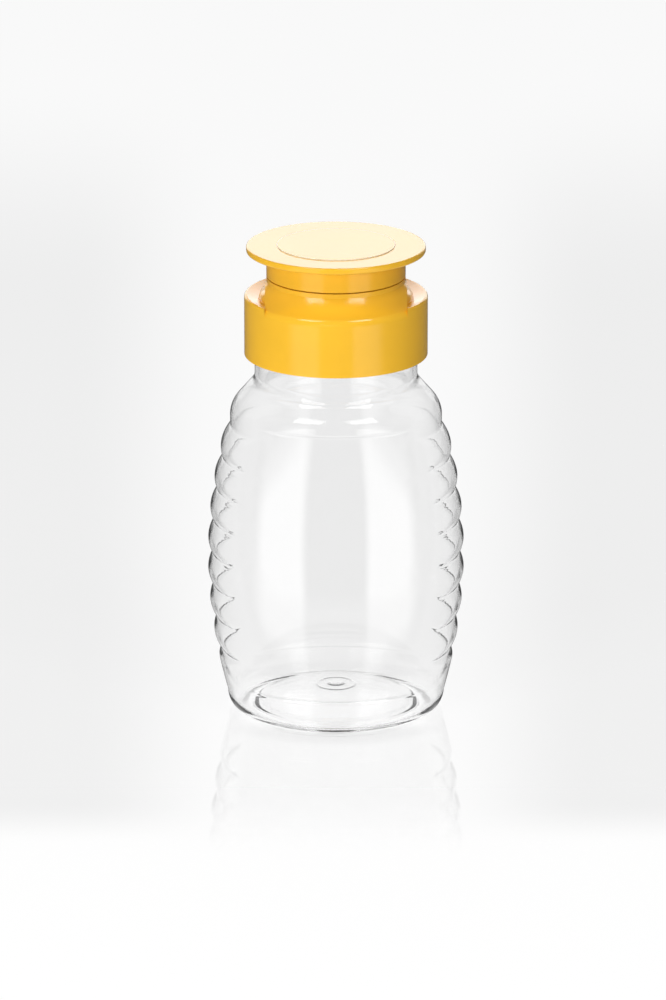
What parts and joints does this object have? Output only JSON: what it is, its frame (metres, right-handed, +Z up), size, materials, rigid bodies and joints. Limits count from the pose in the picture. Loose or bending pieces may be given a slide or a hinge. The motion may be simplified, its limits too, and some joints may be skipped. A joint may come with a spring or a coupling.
{
  "type": "squeeze honey bottle",
  "caption": "Clear ribbed squeeze bottle with smooth label panels and a yellow screw closure, whose wide flat flip lid covers a silicone valve and lets it stand upside down.",
  "frame": {"origin": "middle of the ring that the bottle stands on, at its lowest level", "axes": "+Z up through the neck; -Y the front with the thumb ramp and a label panel; +Y the back with the lid's hinge; +X to the right"},
  "size_m": [0.0604, 0.0448, 0.113],
  "materials": {
    "clear_plastic": "clear, glossy",
    "yellow_plastic": "semi-gloss, opaque golden yellow",
    "silicone": "satin, milky",
    "white_plastic": "satin",
    "foam": "matt foam"
  },
  "bodies": {
    "bottle": {"bottle": "clear_plastic"},
    "seal": {"neck_liner": "foam"},
    "closure": {"closure_body": "yellow_plastic", "living_hinge": "yellow_plastic", "dispensing_valve": "silicone", "valve_retainer": "white_plastic"},
    "lid": {"flip_lid": "yellow_plastic"}
  },
  "joints": [
    {"name": "cap_lift", "type": "slide", "parent": "bottle", "child": "seal", "axis": [0, 0, 1], "range_m": [0, 0.0053]},
    {"name": "cap_turn", "type": "hinge", "parent": "seal", "child": "closure", "pos_m": [0, 0, 0.0866], "axis": [0, 0, 1], "range_deg": [0, 450]},
    {"name": "lid_hinge", "type": "hinge", "parent": "closure", "child": "lid", "pos_m": [0, 0.0186, 0.10551], "axis": [-1, 0, 0], "range_deg": [0, 125]}
  ],
  "couplings": [
    {"joint": "cap_lift", "follows": "cap_turn", "m_per_rad": 0.0006737}
  ]
}
